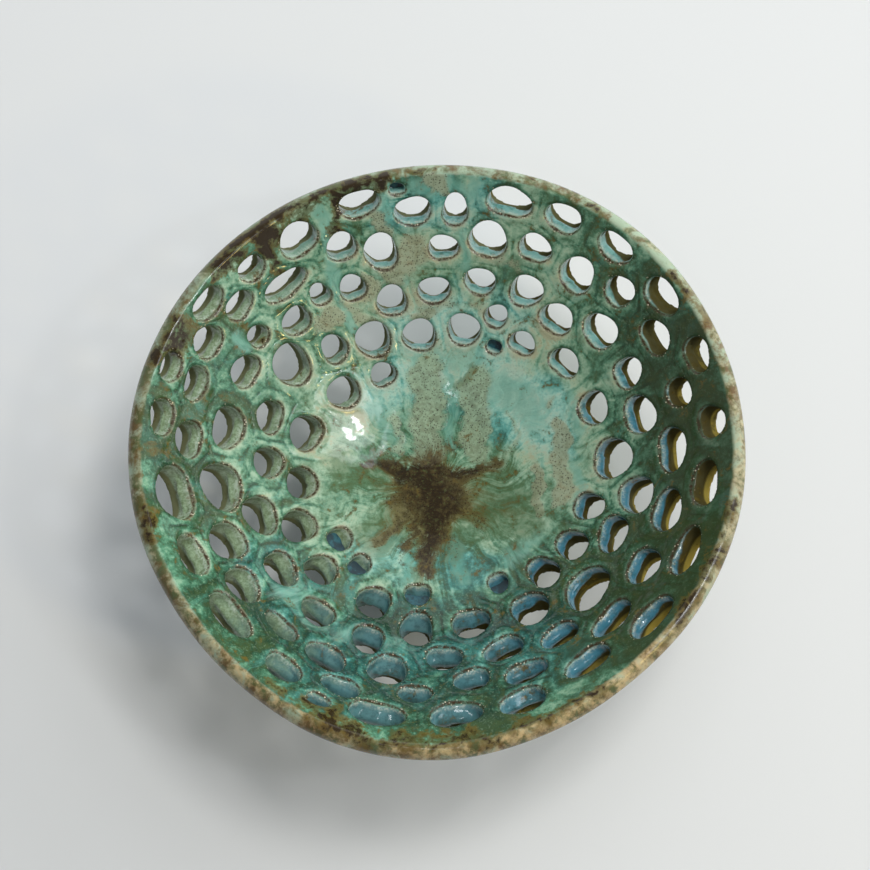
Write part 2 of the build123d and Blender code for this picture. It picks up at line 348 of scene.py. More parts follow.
def make_piece(name, points, faces, numbers):
    """A closed piece at the origin from points in millimetres and faces by corner number.

    It is smooth except where it turns sharper than 50 degrees, and carries its numbers as attributes.
    """
    mesh = bpy.data.meshes.new(name)
    mesh.from_pydata((points * MM).tolist(), [], faces)
    for label, values in numbers.items():
        layer = mesh.attributes.new(label, "FLOAT", "POINT")
        layer.data.foreach_set("value", np.ascontiguousarray(values, dtype=np.float32))
    form = bmesh.new()
    form.from_mesh(mesh)
    bmesh.ops.remove_doubles(form, verts=form.verts, dist=1e-7)
    bmesh.ops.recalc_face_normals(form, faces=form.faces)
    form.to_mesh(mesh)
    form.free()
    mesh.shade_smooth()
    mesh.set_sharp_from_angle(angle=np.radians(50))
    piece = bpy.data.objects.new(name, mesh)
    bpy.context.collection.objects.link(piece)
    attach(piece, "root")
    return piece


def band_faces(rings, closed):
    """Four-sided faces of rings of points round the bowl, the last joined to the first if closed."""
    ring = np.arange(rings if closed else rings - 1)[:, None]
    step = np.arange(ROUND)[None]
    after, ahead = (ring + 1) % rings, (step + 1) % ROUND
    grid = np.stack(np.broadcast_arrays(
        ring * ROUND + step, ring * ROUND + ahead, after * ROUND + ahead, after * ROUND + step
    ), axis=-1)
    return grid.reshape(-1, 4).tolist()


def turned_piece(name, arcs, deeps, closed):
    """A section of the clay, given by arc lengths and depths, carried round the bowl."""
    arc, deep, bearing = np.broadcast_arrays(arcs[:, None], deeps[:, None], bearings[None])
    numbers = tones(true_points(bearing, arc, deep), arc, deep)
    numbers = {label: values.ravel() for label, values in numbers.items()}
    points = thrown_points(bearing, arc, deep).reshape(-1, 3)
    return make_piece(name, points, band_faces(len(arcs), closed), numbers)


class Tone:
    """One shader socket. Sums on it add Math nodes, and node() adds a node of any other kind."""

    def __init__(self, tree, socket=None):
        self.tree = tree
        self.socket = socket

    def node(self, kind, sockets, output=0, stops=None, **settings):
        """One output of a new node, with its settings made first and its sockets then filled or linked."""
        made = self.tree.nodes.new(kind)
        for label, value in settings.items():
            setattr(made, label, value)
        if stops:
            ramp = made.color_ramp
            while len(ramp.elements) < len(stops):
                ramp.elements.new(1)
            for element, (position, colour) in zip(ramp.elements, stops):
                element.position = position
                element.color = (*colour, 1)
        for label, value in sockets.items():
            if isinstance(value, Tone):
                self.tree.links.new(value.socket, made.inputs[label])
            else:
                made.inputs[label].default_value = value
        return Tone(self.tree, made.outputs[output])

    def math(self, operation, first, second):
        """A Math node on two numbers, each plain or from a socket."""
        return self.node("ShaderNodeMath", {0: first, 1: second}, operation=operation)

    def __add__(self, other):
        return self.math("ADD", self, other)

    def __radd__(self, other):
        return self.math("ADD", other, self)

    def __sub__(self, other):
        return self.math("SUBTRACT", self, other)

    def __rsub__(self, other):
        return self.math("SUBTRACT", other, self)

    def __mul__(self, other):
        return self.math("MULTIPLY", self, other)

    def __rmul__(self, other):
        return self.math("MULTIPLY", other, self)

    def step(self, low, high):
        """Smooth rise from 0 at low to 1 at high, or fall where low is the larger."""
        falls = low > high
        bounds = {1: min(low, high), 2: max(low, high), 3: float(falls), 4: float(not falls)}
        return self.node("ShaderNodeMapRange", {0: self, **bounds}, interpolation_type="SMOOTHSTEP")

    def mixed(self, base, over):
        """Colour over laid on colour base, as strongly as this number."""
        colours = [value if isinstance(value, Tone) else (*value, 1) for value in (base, over)]
        sockets = {0: self, 6: colours[0], 7: colours[1]}
        return self.node("ShaderNodeMix", sockets, output=2, data_type="RGBA", clamp_factor=True)

    def attribute(self, label):
        """A number that the mesh carries at each of its points."""
        return self.node("ShaderNodeAttribute", {}, output="Fac", attribute_name=label)

    def noise(self, place, scale, detail=3.0, distortion=0.0, rough=0.55):
        """Cloudy noise about 0.5 at a place, with scale waves to each unit of it."""
        return self.node(
            "ShaderNodeTexNoise",
            {"Vector": place, "Scale": scale, "Detail": detail, "Distortion": distortion, "Roughness": rough},
            output="Fac",
        )


def new_material(name):
    """An empty material, its Principled shader, and a Tone to build on."""
    material = bpy.data.materials.new(name)
    material.use_nodes = True
    tree = material.node_tree
    return material, tree.nodes["Principled BSDF"], Tone(tree)


GREEN_GLAZE = [
    (0.0, (0.42, 0.43, 0.28)), (0.12, (0.4, 0.5, 0.34)), (0.27, (0.34, 0.5, 0.35)),
    (0.43, (0.23, 0.4, 0.27)), (0.6, (0.095, 0.25, 0.155)), (0.78, (0.035, 0.115, 0.066)),
    (1.0, (0.012, 0.04, 0.02)),
]
BLUE_GLAZE = [
    (0.0, (0.43, 0.6, 0.49)), (0.12, (0.39, 0.63, 0.53)), (0.27, (0.28, 0.56, 0.48)),
    (0.45, (0.125, 0.4, 0.36)), (0.62, (0.05, 0.215, 0.195)), (0.8, (0.02, 0.11, 0.098)),
    (1.0, (0.01, 0.045, 0.04)),
]
CELADON = (0.36, 0.49, 0.33)
TURQUOISE = (0.11, 0.34, 0.27)
PALE_RUN = (0.26, 0.52, 0.42)
PETAL_GREY = (0.21, 0.26, 0.16)
TAN_CLAY = (0.36, 0.28, 0.17)
DRY_OLIVE = (0.24, 0.23, 0.13)
DRY_PALE = (0.36, 0.4, 0.27)
EDGE_BROWN = (0.042, 0.023, 0.008)
DARK_BROWN = (0.02, 0.01, 0.002)
AMBER = (0.14, 0.095, 0.016)
OLIVE = (0.085, 0.09, 0.026)
MOSS = (0.085, 0.135, 0.045)
SHADE_GREEN = (0.035, 0.052, 0.015)
DUSK_OLIVE = (0.19, 0.19, 0.1)
SHADOW_OLIVE = (0.066, 0.046, 0.006)
PAINTED_WARM_GOLD = (0.32, 0.25, 0.05)
SKY_GLAZE = (0.06, 0.22, 0.31)
DEEP_TEAL = (0.035, 0.1, 0.11)
TEAL_GLAZE = (0.1, 0.24, 0.26)
AQUA = (0.2, 0.44, 0.42)
SAGE = (0.17, 0.23, 0.12)
UMBER = (0.085, 0.064, 0.022)
PALE_LIP = (0.54, 0.62, 0.54)
CLEAR_TEAL = (0.085, 0.25, 0.24)
WATER_BLUE = (0.09, 0.34, 0.29)
RIM_CREAM = (0.5, 0.43, 0.26)
RIM_BROWN = (0.14, 0.07, 0.02)
RIM_GREEN = (0.34, 0.43, 0.31)
RIM_GOLD = (0.64, 0.46, 0.23)
GLINT_PAINT = (0.86, 0.78, 0.58)


def glaze(name):
    """Running turquoise glaze over brown slip, coloured by how thick it lies.

    Thin glaze on the edges of the holes breaks to tan and brown, thicker glaze goes from pale green to
    turquoise, and it pools dark in the webs. Some of the thick and thin marks, the dark right wall near the
    rim and the dark rim-side hole edges are painted shade. The firing marks burn it brown or leave it dry
    and pale. The cut faces of the holes hold settled glaze as far as it reached, and are matte olive clay
    beyond that, darkened as painted shade most towards +x, with painted warm light at their outer ends on
    the right. Pale specks along the hole edges are painted glints.
    """
    material, shader, tone = new_material(name)
    place = tone.node("ShaderNodeTexCoord", {}, output="Object")
    x, y = (tone.node("ShaderNodeSeparateXYZ", {0: place}, output=axis) for axis in "XY")
    reach = tone.math("SQRT", x * x + y * y + 0.00001, 0.0)
    gap, ridge, edge = tone.attribute("gap"), tone.attribute("ridge"), tone.attribute("edge")
    side, flank, through = tone.attribute("side"), tone.attribute("flank"), tone.attribute("through")
    brown, amber, crest = tone.attribute("brown"), tone.attribute("amber"), tone.attribute("crest")
    petal, bare, burnt = tone.attribute("petal"), tone.attribute("bare"), tone.attribute("burnt")
    stream, tide_and_shade, cool = tone.attribute("stream"), tone.attribute("tide_and_shade"), tone.attribute("cool")

    east, north = tone.math("DIVIDE", x, reach), tone.math("DIVIDE", y, reach)
    # runs of glaze follow the fall of the bowl, bent aside by some millimetres
    wander = tone.node("ShaderNodeTexNoise", {"Vector": place, "Scale": 60.0, "Detail": 1.5}, output="Color")
    drift_x, drift_y = (tone.node("ShaderNodeSeparateXYZ", {0: wander}, output=axis) for axis in "XY")
    bent_x, bent_y = x + (drift_x - 0.5) * 0.022, y + (drift_y - 0.5) * 0.022
    bent_reach = tone.math("SQRT", bent_x * bent_x + bent_y * bent_y + 0.00004, 0.0)
    run_x, run_y = tone.math("DIVIDE", bent_x, bent_reach), tone.math("DIVIDE", bent_y, bent_reach)
    broad_run = tone.node("ShaderNodeCombineXYZ", {0: run_x * 7.0, 1: run_y * 7.0, 2: bent_reach * 26.0})
    fine_run = tone.node("ShaderNodeCombineXYZ", {0: run_x * 9.0, 1: run_y * 9.0, 2: bent_reach * 60.0})
    flow = tone.noise(broad_run, 1.0, detail=5.0, distortion=1.4)
    streaks = tone.noise(fine_run, 1.0, detail=4.0, distortion=2.0)
    clouds = tone.noise(place, 46.0, detail=4.0, distortion=1.3)
    patches = tone.noise(place, 150.0, detail=5.0, distortion=0.8, rough=0.62)
    fine = tone.noise(place, 560.0, detail=4.0, rough=0.65)
    grain = tone.noise(place, 1500.0, detail=2.0)

    # how thick the glaze lies, and its colours for that, with painted shade where the marks and the rim-side
    # hole edges darken it
    head = side.step(-0.2, 0.8)
    sheet = tone.math("MINIMUM", gap + head * 2.0, 2.6)
    veins = ridge.step(1.6, 0.0) * gap.step(0.5, 1.6) * gap.step(5.6, 3.8)
    thick = 0.35 + sheet * 0.1 + (flow - 0.5) * 1.1 + (streaks - 0.5) * 0.3 + (patches - 0.5) * 0.75
    thick = thick + (clouds - 0.5) * 1.0 + (fine - 0.5) * 0.7 + tide_and_shade + veins * 0.27
    # painted shade: darker colour along the rim-side edges of the holes
    thick = thick + head * edge.step(2.4, 0.4) * through.step(0.3, 0.1) * 0.26
    cooled = (cool + (clouds - 0.5) * 1.2).step(0.25, 0.75)
    green = tone.node("ShaderNodeValToRGB", {0: thick}, stops=GREEN_GLAZE)
    blue = tone.node("ShaderNodeValToRGB", {0: thick}, stops=BLUE_GLAZE)
    body = cooled.mixed(green, blue)
    rusty = (patches * 0.4 + fine * 0.5 + flow * 0.1).step(0.54, 0.68)
    body = (rusty * (0.34 - cooled * 0.18)).mixed(body, OLIVE)
    mossy = (flow * 0.5 + clouds * 0.3 + patches * 0.5 - 0.05).step(0.56, 0.74)
    body = (mossy * (0.52 - cooled * 0.34)).mixed(body, MOSS)
    watery = (flow * -0.5 + clouds * 0.5 + patches * 0.4 + 0.32).step(0.54, 0.7)
    body = (watery * 0.4).mixed(body, WATER_BLUE)
    body = ((grain * 0.6 + fine * 0.4).step(0.5, 0.66) * 0.3).mixed(body, OLIVE)
    body = ((grain * 0.6 + fine * 0.4).step(0.48, 0.34) * 0.2).mixed(body, CELADON)
    running = (stream + (patches - 0.5) * 0.9 + (streaks - 0.5) * 0.9).step(0.25, 0.8)
    run_colour = (fine * 0.4 + streaks * 0.6).step(0.35, 0.65).mixed(TURQUOISE, PALE_RUN)
    body = (running * 0.65).mixed(body, run_colour)
    # painted shade: the right wall near the rim, turned away from the light, darkened to bottle green
    painted_shade_right = (east - north * 0.2 + (clouds - 0.5) * 0.9).step(0.45, 1.0) * reach.step(0.056, 0.078)
    body = (painted_shade_right * 0.7).mixed(body, SHADE_GREEN)

    # dry margins below the holes, paler to the left and the top as painted light
    margin = edge.step(1.8, 0.6) * side.step(0.6, -0.5) * through.step(0.2, 0.06) * gap.step(4.0, 3.0)
    dry = margin * (0.5 - east * 0.25 + north * 0.2) + margin * (fine * 1.4 + patches - 1.2)
    dry = dry.step(0.3, 0.7)
    body = (dry * 0.3).mixed(body, TAN_CLAY)

    # cut faces of the holes, from the pale lip through the settled glaze to the bare end, which is painted
    # shade
    tunnel = through.step(0.05, 0.14) * gap.step(1.0, 0.3) * through.step(0.99, 0.93)
    front = (0.4 - north * 0.65 + east * 0.5 + (patches - 0.5) * 0.9).step(0.25, 0.8)
    mottled = (fine * 0.6 + grain * 0.4).step(0.34, 0.66).mixed(SAGE, CELADON)
    puddle = east.step(-0.1, 0.8).mixed(TEAL_GLAZE, SKY_GLAZE)
    puddle = ((fine * 0.5 + patches * 0.5).step(0.44, 0.62) * 0.7).mixed(puddle, DEEP_TEAL)
    clear = (fine * 0.5 + patches * 0.5 + through * 0.16).step(0.46, 0.66).mixed(AQUA, CLEAR_TEAL)
    coated = (east + north * 0.7 + (patches - 0.5) * 0.8).step(-0.5, 0.6).mixed(mottled, clear)
    cut_face = front.mixed(coated, puddle)
    # pale frosted glaze at the inner lip, its white specks partly painted glints
    frost_and_glints = 0.15 + (fine * 0.5 + grain * 0.5).step(0.44, 0.58) * 0.7
    cut_face = (through.step(0.28, 0.08) * frost_and_glints).mixed(cut_face, PALE_LIP)
    # darker olive deeper into the hole: thinner glaze and painted shade
    cut_face = ((through + (patches - 0.5) * 0.9).step(0.3, 0.9) * 0.4).mixed(cut_face, OLIVE)
    # painted shadow: the deeper end of each cut face is bare clay darkened as shade, its line slanted and
    # darkest towards +x
    outer_right = reach.step(0.07, 0.08) * east.step(0.5, 0.9) * north.step(-0.7, -0.1)
    southern = north.step(-0.2, -0.9) * east.step(0.75, 0.1)
    shade_line = through + flank * 0.16 + (patches - 0.5) * 0.2 + east * 0.1 + outer_right * 0.4 - southern * 0.26
    beyond = (east - north * 0.3).step(-0.6, 0.4).mixed(DUSK_OLIVE, SHADOW_OLIVE)
    bare_and_shaded = shade_line.step(0.48, 0.6)
    cut_face = (bare_and_shaded * 0.95).mixed(cut_face, beyond)
    # painted warm light bounced into the outer ends of the holes on the right
    warm_light_depth = (through + flank * 0.12 + reach.step(0.072, 0.084) * 0.16).step(0.74, 0.86)
    painted_warm_light = warm_light_depth * (east * 0.9 - north * 0.45 + patches - 0.5).step(0.6, 0.95) * reach.step(0.056, 0.07)
    cut_face = (painted_warm_light * 0.85).mixed(cut_face, PAINTED_WARM_GOLD)
    body = (tunnel * 0.95).mixed(body, cut_face)

    # matte panels and dry patches
    matte = (petal + (patches - 0.5) * 0.8 + (fine - 0.5) * 0.5).step(0.28, 0.62)
    panel = (fine * 0.6 + patches * 0.4).step(0.4, 0.6).mixed(PETAL_GREY, CELADON)
    body = (matte * 0.85).mixed(body, panel)
    parched = (bare + (patches - 0.5) * 0.6 + (fine - 0.5) * 0.5).step(0.32, 0.62)
    body = (parched * 0.8).mixed(body, fine.step(0.3, 0.6).mixed(DRY_OLIVE, DRY_PALE))

    # dark pool in its amber and mossy skirt
    halo = amber * 1.15 + (streaks - 0.5) * 1.3 + (patches - 0.5) * 1.0 + (fine - 0.5) * 0.5
    halo = halo.step(0.24, 0.7)
    near_pool = brown + amber * 0.3 + (streaks - 0.5) * 0.6 + (patches - 0.5) * 0.3 + (fine - 0.5) * 0.2
    near_pool = near_pool.step(0.22, 0.64)
    body = (halo * (0.5 + near_pool * 0.35)).mixed(body, near_pool.mixed(MOSS, AMBER))
    pool = (brown + (streaks - 0.5) * 0.4 + (patches - 0.5) * 1.1 + (fine - 0.5) * 1.1).step(0.15, 0.75)
    glassy = (fine * 0.5 + patches * 0.5).step(0.46, 0.62).mixed(DARK_BROWN, UMBER)
    glassy = ((grain * 0.5 + fine * 0.5).step(0.54, 0.66) * 0.6).mixed(glassy, MOSS)
    body = (pool * 0.95).mixed(body, glassy)

    # rim, pale over brown, and the burnt places
    across_rim = tone.node("ShaderNodeCombineXYZ", {0: east * 13.0, 1: north * 13.0, 2: reach * 150.0})
    run_off = tone.noise(across_rim, 1.0, detail=5.0, distortion=0.6, rough=0.6)
    rim_pale = (east * 0.08 + run_off * 1.4 + patches * 0.3 + fine * 0.7 - 1.19).step(-0.18, 0.2)
    rim_dark = patches.step(0.4, 0.6).mixed(OLIVE, RIM_BROWN)
    rim_warm = (north * -1.0 + (patches - 0.5) * 0.8).step(0.2, 0.9).mixed(RIM_CREAM, RIM_GOLD)
    rim_light = (run_off * 0.5 + patches * 0.5 + north * 0.06).step(0.42, 0.58).mixed(rim_warm, RIM_GREEN)
    rim_colour = rim_pale.mixed(rim_dark, rim_light)
    body = ((crest + (patches - 0.5) * 0.8).step(0.25, 0.75) * 0.85).mixed(body, rim_colour)
    scorch = burnt * 0.95 + crest * 0.08 + (patches - 0.5) * 2.4 + (fine - 0.5) * 1.2
    body = (scorch.step(0.24, 0.6) * 0.75).mixed(body, patches.step(0.4, 0.6).mixed(OLIVE, AMBER))
    body = (scorch.step(0.55, 0.95) * 0.95).mixed(body, DARK_BROWN)

    # iron specks, then brown lips and painted glints round the holes
    specks = tone.node("ShaderNodeTexVoronoi", {"Vector": place, "Scale": 1300.0}, output="Distance")
    dusty = tone.math("MAXIMUM", matte, parched)
    speckled = (patches + dusty * 0.45 + brown * 0.8).step(0.54, 0.74)
    speckle = (specks + grain * 0.5).step(0.62, 0.42) * speckled
    body = (speckle * 0.75).mixed(body, DARK_BROWN)

    worn = 0.12 + side.step(0.7, -0.3) * 0.88
    lip = edge.step(1.0, 0.4) * through.step(0.5, 0.3) * worn
    broken = 0.55 + (fine * 0.5 + grain * 0.5).step(0.4, 0.54) * 0.45
    body = (lip * broken).mixed(body, EDGE_BROWN)
    # painted glints: pale specks along the hole edges stand in for highlights
    glints = tone.node("ShaderNodeTexVoronoi", {"Vector": place, "Scale": 1000.0}, output="Distance")
    painted_glints = edge.step(1.5, 0.6) * glints.step(0.32, 0.15) * (fine * 0.6 + patches * 0.4).step(0.46, 0.56)
    body = (painted_glints * 0.7).mixed(body, GLINT_PAINT)

    # gloss and relief, with matte bare clay in painted shade at the outer ends of the holes
    links = tone.tree.links
    links.new(body.socket, shader.inputs["Base Color"])
    rough = 0.1 + crest * 0.1 + dusty * 0.36 + speckle * 0.15 + rusty * 0.06 + dry * 0.1
    links.new(rough.socket, shader.inputs["Roughness"])
    swell = tone.noise(place, 46.0, detail=1.0, distortion=1.3)
    lumps = tone.noise(place, 230.0, detail=1.0)
    raised = edge.step(2.8, 0.5) * 0.2 - veins * 0.08
    height = swell * 0.6 + lumps * 0.16 + raised + dusty * fine * 0.12 - lip * broken * 0.1
    bump = {"Height": height, "Strength": 0.55, "Distance": 0.002}
    links.new(tone.node("ShaderNodeBump", bump, output="Normal").socket, shader.inputs["Normal"])
    shader.inputs["IOR"].default_value = 1.52

    unglazed = tone.tree.nodes.new("ShaderNodeBsdfPrincipled")
    unglazed.inputs["Specular IOR Level"].default_value = 0.0
    unglazed.inputs["Roughness"].default_value = 0.9
    links.new(body.socket, unglazed.inputs["Base Color"])
    glazed, bare_clay = (Tone(tone.tree, surface.outputs[0]) for surface in (shader, unglazed))
    both = tone.node("ShaderNodeMixShader", {0: tunnel * bare_and_shaded, 1: glazed, 2: bare_clay})
    links.new(both.socket, tone.tree.nodes["Material Output"].inputs["Surface"])
    return material


top_arcs = np.linspace(0, seam_arc, FLOOR_RINGS)
floor_arcs = np.concatenate([top_arcs, top_arcs[::-1]])
floor_deeps = np.concatenate([0 * top_arcs, clay(top_arcs[::-1])])
floor_piece = turned_piece("floor_disc_glazed", floor_arcs, floor_deeps, closed=False)
floor_piece.data.materials.append(glaze("floor_glaze"))
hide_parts("floor_disc")


# Pierced wall
# Clay pressed over a form and pierced by hand while leather hard, every hole an oval of its own. Firing
# and thick glaze have rounded all the edges. It is luted to the floor disc and carries the rim coil.
FOOT_LIP = 0.55  # radius of a hole's edge on the side of the floor, where it stays crisp
HEAD_LIP = 1.5  # and on the side of the rim, where the glaze has run over it
ARC_STEPS = 76
DEEP_STEPS = 13

arc_gap = (seat_arc - seam_arc) / (ARC_STEPS - 2)
grid_arcs = seam_arc + (np.arange(ARC_STEPS) - 0.5) * arc_gap
grid_deeps = np.linspace(-1.4, BODY_CLAY + 1.4, DEEP_STEPS)
grid_bearings = np.arange(ROUND) * 2 * np.pi / ROUND
arc_grid, bearing_grid, deep_grid = np.meshgrid(grid_arcs, grid_bearings, grid_deeps, indexing="ij")


def rounded_meet(first, second, radius):
    """Where two solids overlap, with the edge between them rounded: both fields are below zero inside."""
    corner = np.hypot(np.maximum(first + radius, 0), np.maximum(second + radius, 0))
    return np.minimum(np.maximum(first, second), -radius) + corner


def zero_surface(field):
    """Points and faces of the surface where a field passes zero, on a grid that closes round the bowl.

    Each cell that the surface crosses gets one point, the mean of the crossings on its twelve edges, in
    steps of the grid. Each grid edge that it crosses gets a face through the four cells round that edge.
    """
    sign = field < 0
    ahead = np.roll(field, -1, axis=1)
    pair = (field, ahead)
    cells = (field.shape[0] - 1, field.shape[1], field.shape[2] - 1)
    total = np.zeros((*cells, 3))
    count = np.zeros(cells)
    for axis in range(3):
        others = [other for other in range(3) if other != axis]
        for near in (0, 1):
            for far in (0, 1):
                start = [0, 0, 0]
                start[others[0]], start[others[1]] = near, far
                finish = list(start)
                finish[axis] = 1
                low = pair[start[1]][start[0]:start[0] + cells[0], :, start[2]:start[2] + cells[2]]
                high = pair[finish[1]][finish[0]:finish[0] + cells[0], :, finish[2]:finish[2] + cells[2]]
                crossed = (low < 0) != (high < 0)
                share = np.where(crossed, low / np.where(crossed, low - high, 1), 0)
                for part in range(3):
                    total[..., part] += crossed * (share if part == axis else start[part])
                count += crossed
    live = count > 0
    number = np.full(cells, -1)
    number[live] = np.arange(live.sum())
    base = np.stack(np.nonzero(live), axis=1)
    points = base + total[live] / count[live][:, None]
    before = np.roll(number, 1, axis=1)
    faces = []
    turned = sign[:-1, :, 1:-1] != sign[1:, :, 1:-1]
    around = [before[:, :, :-1], number[:, :, :-1], number[:, :, 1:], before[:, :, 1:]]
    faces.append(oriented([cell[turned] for cell in around], sign[:-1, :, 1:-1][turned]))
    turned = sign[1:-1, :, 1:-1] != np.roll(sign, -1, axis=1)[1:-1, :, 1:-1]
    around = [number[:-1, :, :-1], number[:-1, :, 1:], number[1:, :, 1:], number[1:, :, :-1]]
    faces.append(oriented([cell[turned] for cell in around], sign[1:-1, :, 1:-1][turned]))
    turned = sign[1:-1, :, :-1] != sign[1:-1, :, 1:]
    around = [before[:-1], before[1:], number[1:], number[:-1]]
    faces.append(oriented([cell[turned] for cell in around], sign[1:-1, :, :-1][turned]))
    return points, np.concatenate(faces), number


def oriented(columns, flipped):
    """Faces from four columns of point numbers, turned the other way round where flipped."""
    quads = np.stack(columns, axis=1)
    quads[flipped] = quads[flipped][:, ::-1]
    return quads


round_points = true_points(bearing_grid, arc_grid, deep_grid)
gap_grid, _, side_grid, _ = hole_gap(round_points, deep_grid, floored=True)
shell = np.maximum(-deep_grid, deep_grid - clay(arc_grid))
head = np.clip((side_grid + 0.8) / 1.6, 0, 1) * np.clip(1.4 - deep_grid / 4, 0, 1)
solid = rounded_meet(shell, -gap_grid, FOOT_LIP + (HEAD_LIP - FOOT_LIP) * head)
steps, wall_faces, cell_numbers = zero_surface(solid)

wall_arcs = grid_arcs[0] + steps[:, 0] * arc_gap
wall_turns = steps[:, 1] * 2 * np.pi / ROUND
wall_deeps = grid_deeps[0] + steps[:, 2] * (grid_deeps[1] - grid_deeps[0])


def end_cap(row):
    """Faces that close the clay at one end of the wall, between its inner and outer ring of points."""
    ring = cell_numbers[row]
    live = ring >= 0
    step = np.arange(ROUND)
    inner = ring[step, live.argmax(axis=1)]
    outer = ring[step, ring.shape[1] - 1 - live[:, ::-1].argmax(axis=1)]
    return np.stack([inner, np.roll(inner, -1), np.roll(outer, -1), outer], axis=1)


wall_faces = np.concatenate([wall_faces, end_cap(0), end_cap(-1)]).tolist()
wall_numbers = tones(true_points(wall_turns, wall_arcs, wall_deeps), wall_arcs, wall_deeps)
wall_points = thrown_points(wall_turns, wall_arcs, wall_deeps)
wall_piece = make_piece("pierced_wall_glazed", wall_points, wall_faces, wall_numbers)
wall_piece.data.materials.append(glaze("wall_glaze"))
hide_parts("pierced_wall")


# Rim coil
# A thin coil of the same clay, smoothed on to the wall's top edge with a wet finger. The glaze runs off
# it, so the brown slip shows through in patches.
COIL_HEIGHT = 1.9
COIL_STEPS = 15

swing = np.linspace(0, np.pi, COIL_STEPS)
rim_arcs = seat_arc + COIL_HEIGHT * np.sin(swing)
rim_deeps = RIM_CLAY / 2 * (1 - np.cos(swing))
rim_piece = turned_piece("rim_coil_glazed", rim_arcs, rim_deeps, closed=True)
rim_piece.data.materials.append(glaze("rim_glaze"))
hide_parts("rim_coil")


# Foot ring
# The ring that the bowl stands on, luted under the floor with a fillet of slip. It is glazed down its
# sides and wiped bare where it meets the table.
FOOT_WIDTH = 5.0
FOOT_LEAN = 1.5 / 9.0
FOOT_EDGE = 0.9

foot_root = corners("foot_ring")[1]
foot_radius = foot_root[0] - FOOT_LEAN * foot_root[2]
under_arcs = np.linspace(15, 60, 200)
under_edge = true_points(0.0, under_arcs, clay(under_arcs))


def foot_side(outward, base):
    """Radius and height up one side of the ring: a straight lean, rounded at the table, flared at the root.

    The rounding is the quarter circle 1 - sqrt(1 - (1 - z / e)^2), the flare falls off as exp(-gap / 1.4).
    """
    edge = FOOT_EDGE * (1 - np.cos(np.linspace(0, np.pi / 2, 6)))
    climb = np.concatenate([edge, [2.2, 4, 6, 8, 10, 12, 14, 16, 18]])
    root = np.interp(base, under_edge[:, 0], under_edge[:, 2]) + 0.5
    climb = np.append(climb[climb < root - 0.4], root)
    tuck = FOOT_EDGE * (1 - np.sqrt(1 - np.clip(1 - climb / FOOT_EDGE, 0, 1) ** 2))
    flare = 0.9 * np.exp(-(root - climb) / 1.4)
    return base + outward * (FOOT_LEAN * climb - tuck + flare), climb


inner_side = foot_side(-1, foot_radius - FOOT_WIDTH)
outer_side = foot_side(1, foot_radius)
foot_radii = np.concatenate([inner_side[0][::-1], outer_side[0]])
foot_heights = np.concatenate([inner_side[1][::-1], outer_side[1]])
radius, height, bearing = np.broadcast_arrays(foot_radii[:, None], foot_heights[:, None], bearings[None])
radius = radius - 0.2 + 0.12 * np.sin(3 * bearing + 1) + 0.08 * np.sin(7 * bearing)
foot_points = np.stack([radius * np.cos(bearing), radius * np.sin(bearing), height], axis=-1).reshape(-1, 3)
none = np.zeros(len(foot_points))
up = foot_points[:, 2]
unmarked = ("side", "flank", "crest", "brown", "amber", "petal", "stream", "tide_and_shade")
foot_numbers = {label: none for label in unmarked}
foot_numbers |= {"gap": none + 7, "ridge": none + 4, "edge": none + 5}
foot_numbers |= {"through": none + 1, "cool": none + 0.4}
foot_numbers |= {"bare": np.clip(2.2 - up, 0, 1.2), "burnt": 0.6 * np.exp(-((up - 2.4) ** 2))}
foot_piece = make_piece("foot_ring_glazed", foot_points, band_faces(len(foot_radii), True), foot_numbers)
foot_piece.data.materials.append(glaze("foot_glaze"))
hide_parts("foot_ring")


# Glaze pool
# The glaze that ran furthest, settled in the middle of the floor as a shallow lens of dark glass. The
# firing fused it to the floor.
POOL_RINGS = 30
POOL_BED = 0.05  # how far the glass reaches into the floor

pool_radius = corners("glaze_pool")[1][0]
pool_depth = corners("glaze_pool")[1][2] - floor_level
pool_share = np.linspace(0, 1, POOL_RINGS)
pool_arcs = pool_share * pool_radius
pool_rise = pool_depth * (1 - pool_share**2) ** 2
both_arcs = np.concatenate([pool_arcs, pool_arcs[::-1][1:]])
both_deeps = np.concatenate([-pool_rise, np.full(POOL_RINGS - 1, POOL_BED)])
pool_piece = turned_piece("glaze_pool_glass", both_arcs, both_deeps, closed=False)
pool_piece.data.materials.append(glaze("pool_glass"))
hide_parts("glaze_pool")


# Glaze plugs
# Beads of glass that filled the bottoms of the small pits, with a hollow top where they wet the sides. The
# firing fused them to the clay.
PLUG_THICK = 1.5
PLUG_HOLLOW = 0.5
PLUG_SPREAD = 0.25  # how far a bead reaches into the clay round it
PLUG_ROUND = 40
PLUG_RINGS = 8
DEEP_GLASS = (0.006, 0.03, 0.04)
CLEAR_GLASS = (0.02, 0.12, 0.15)

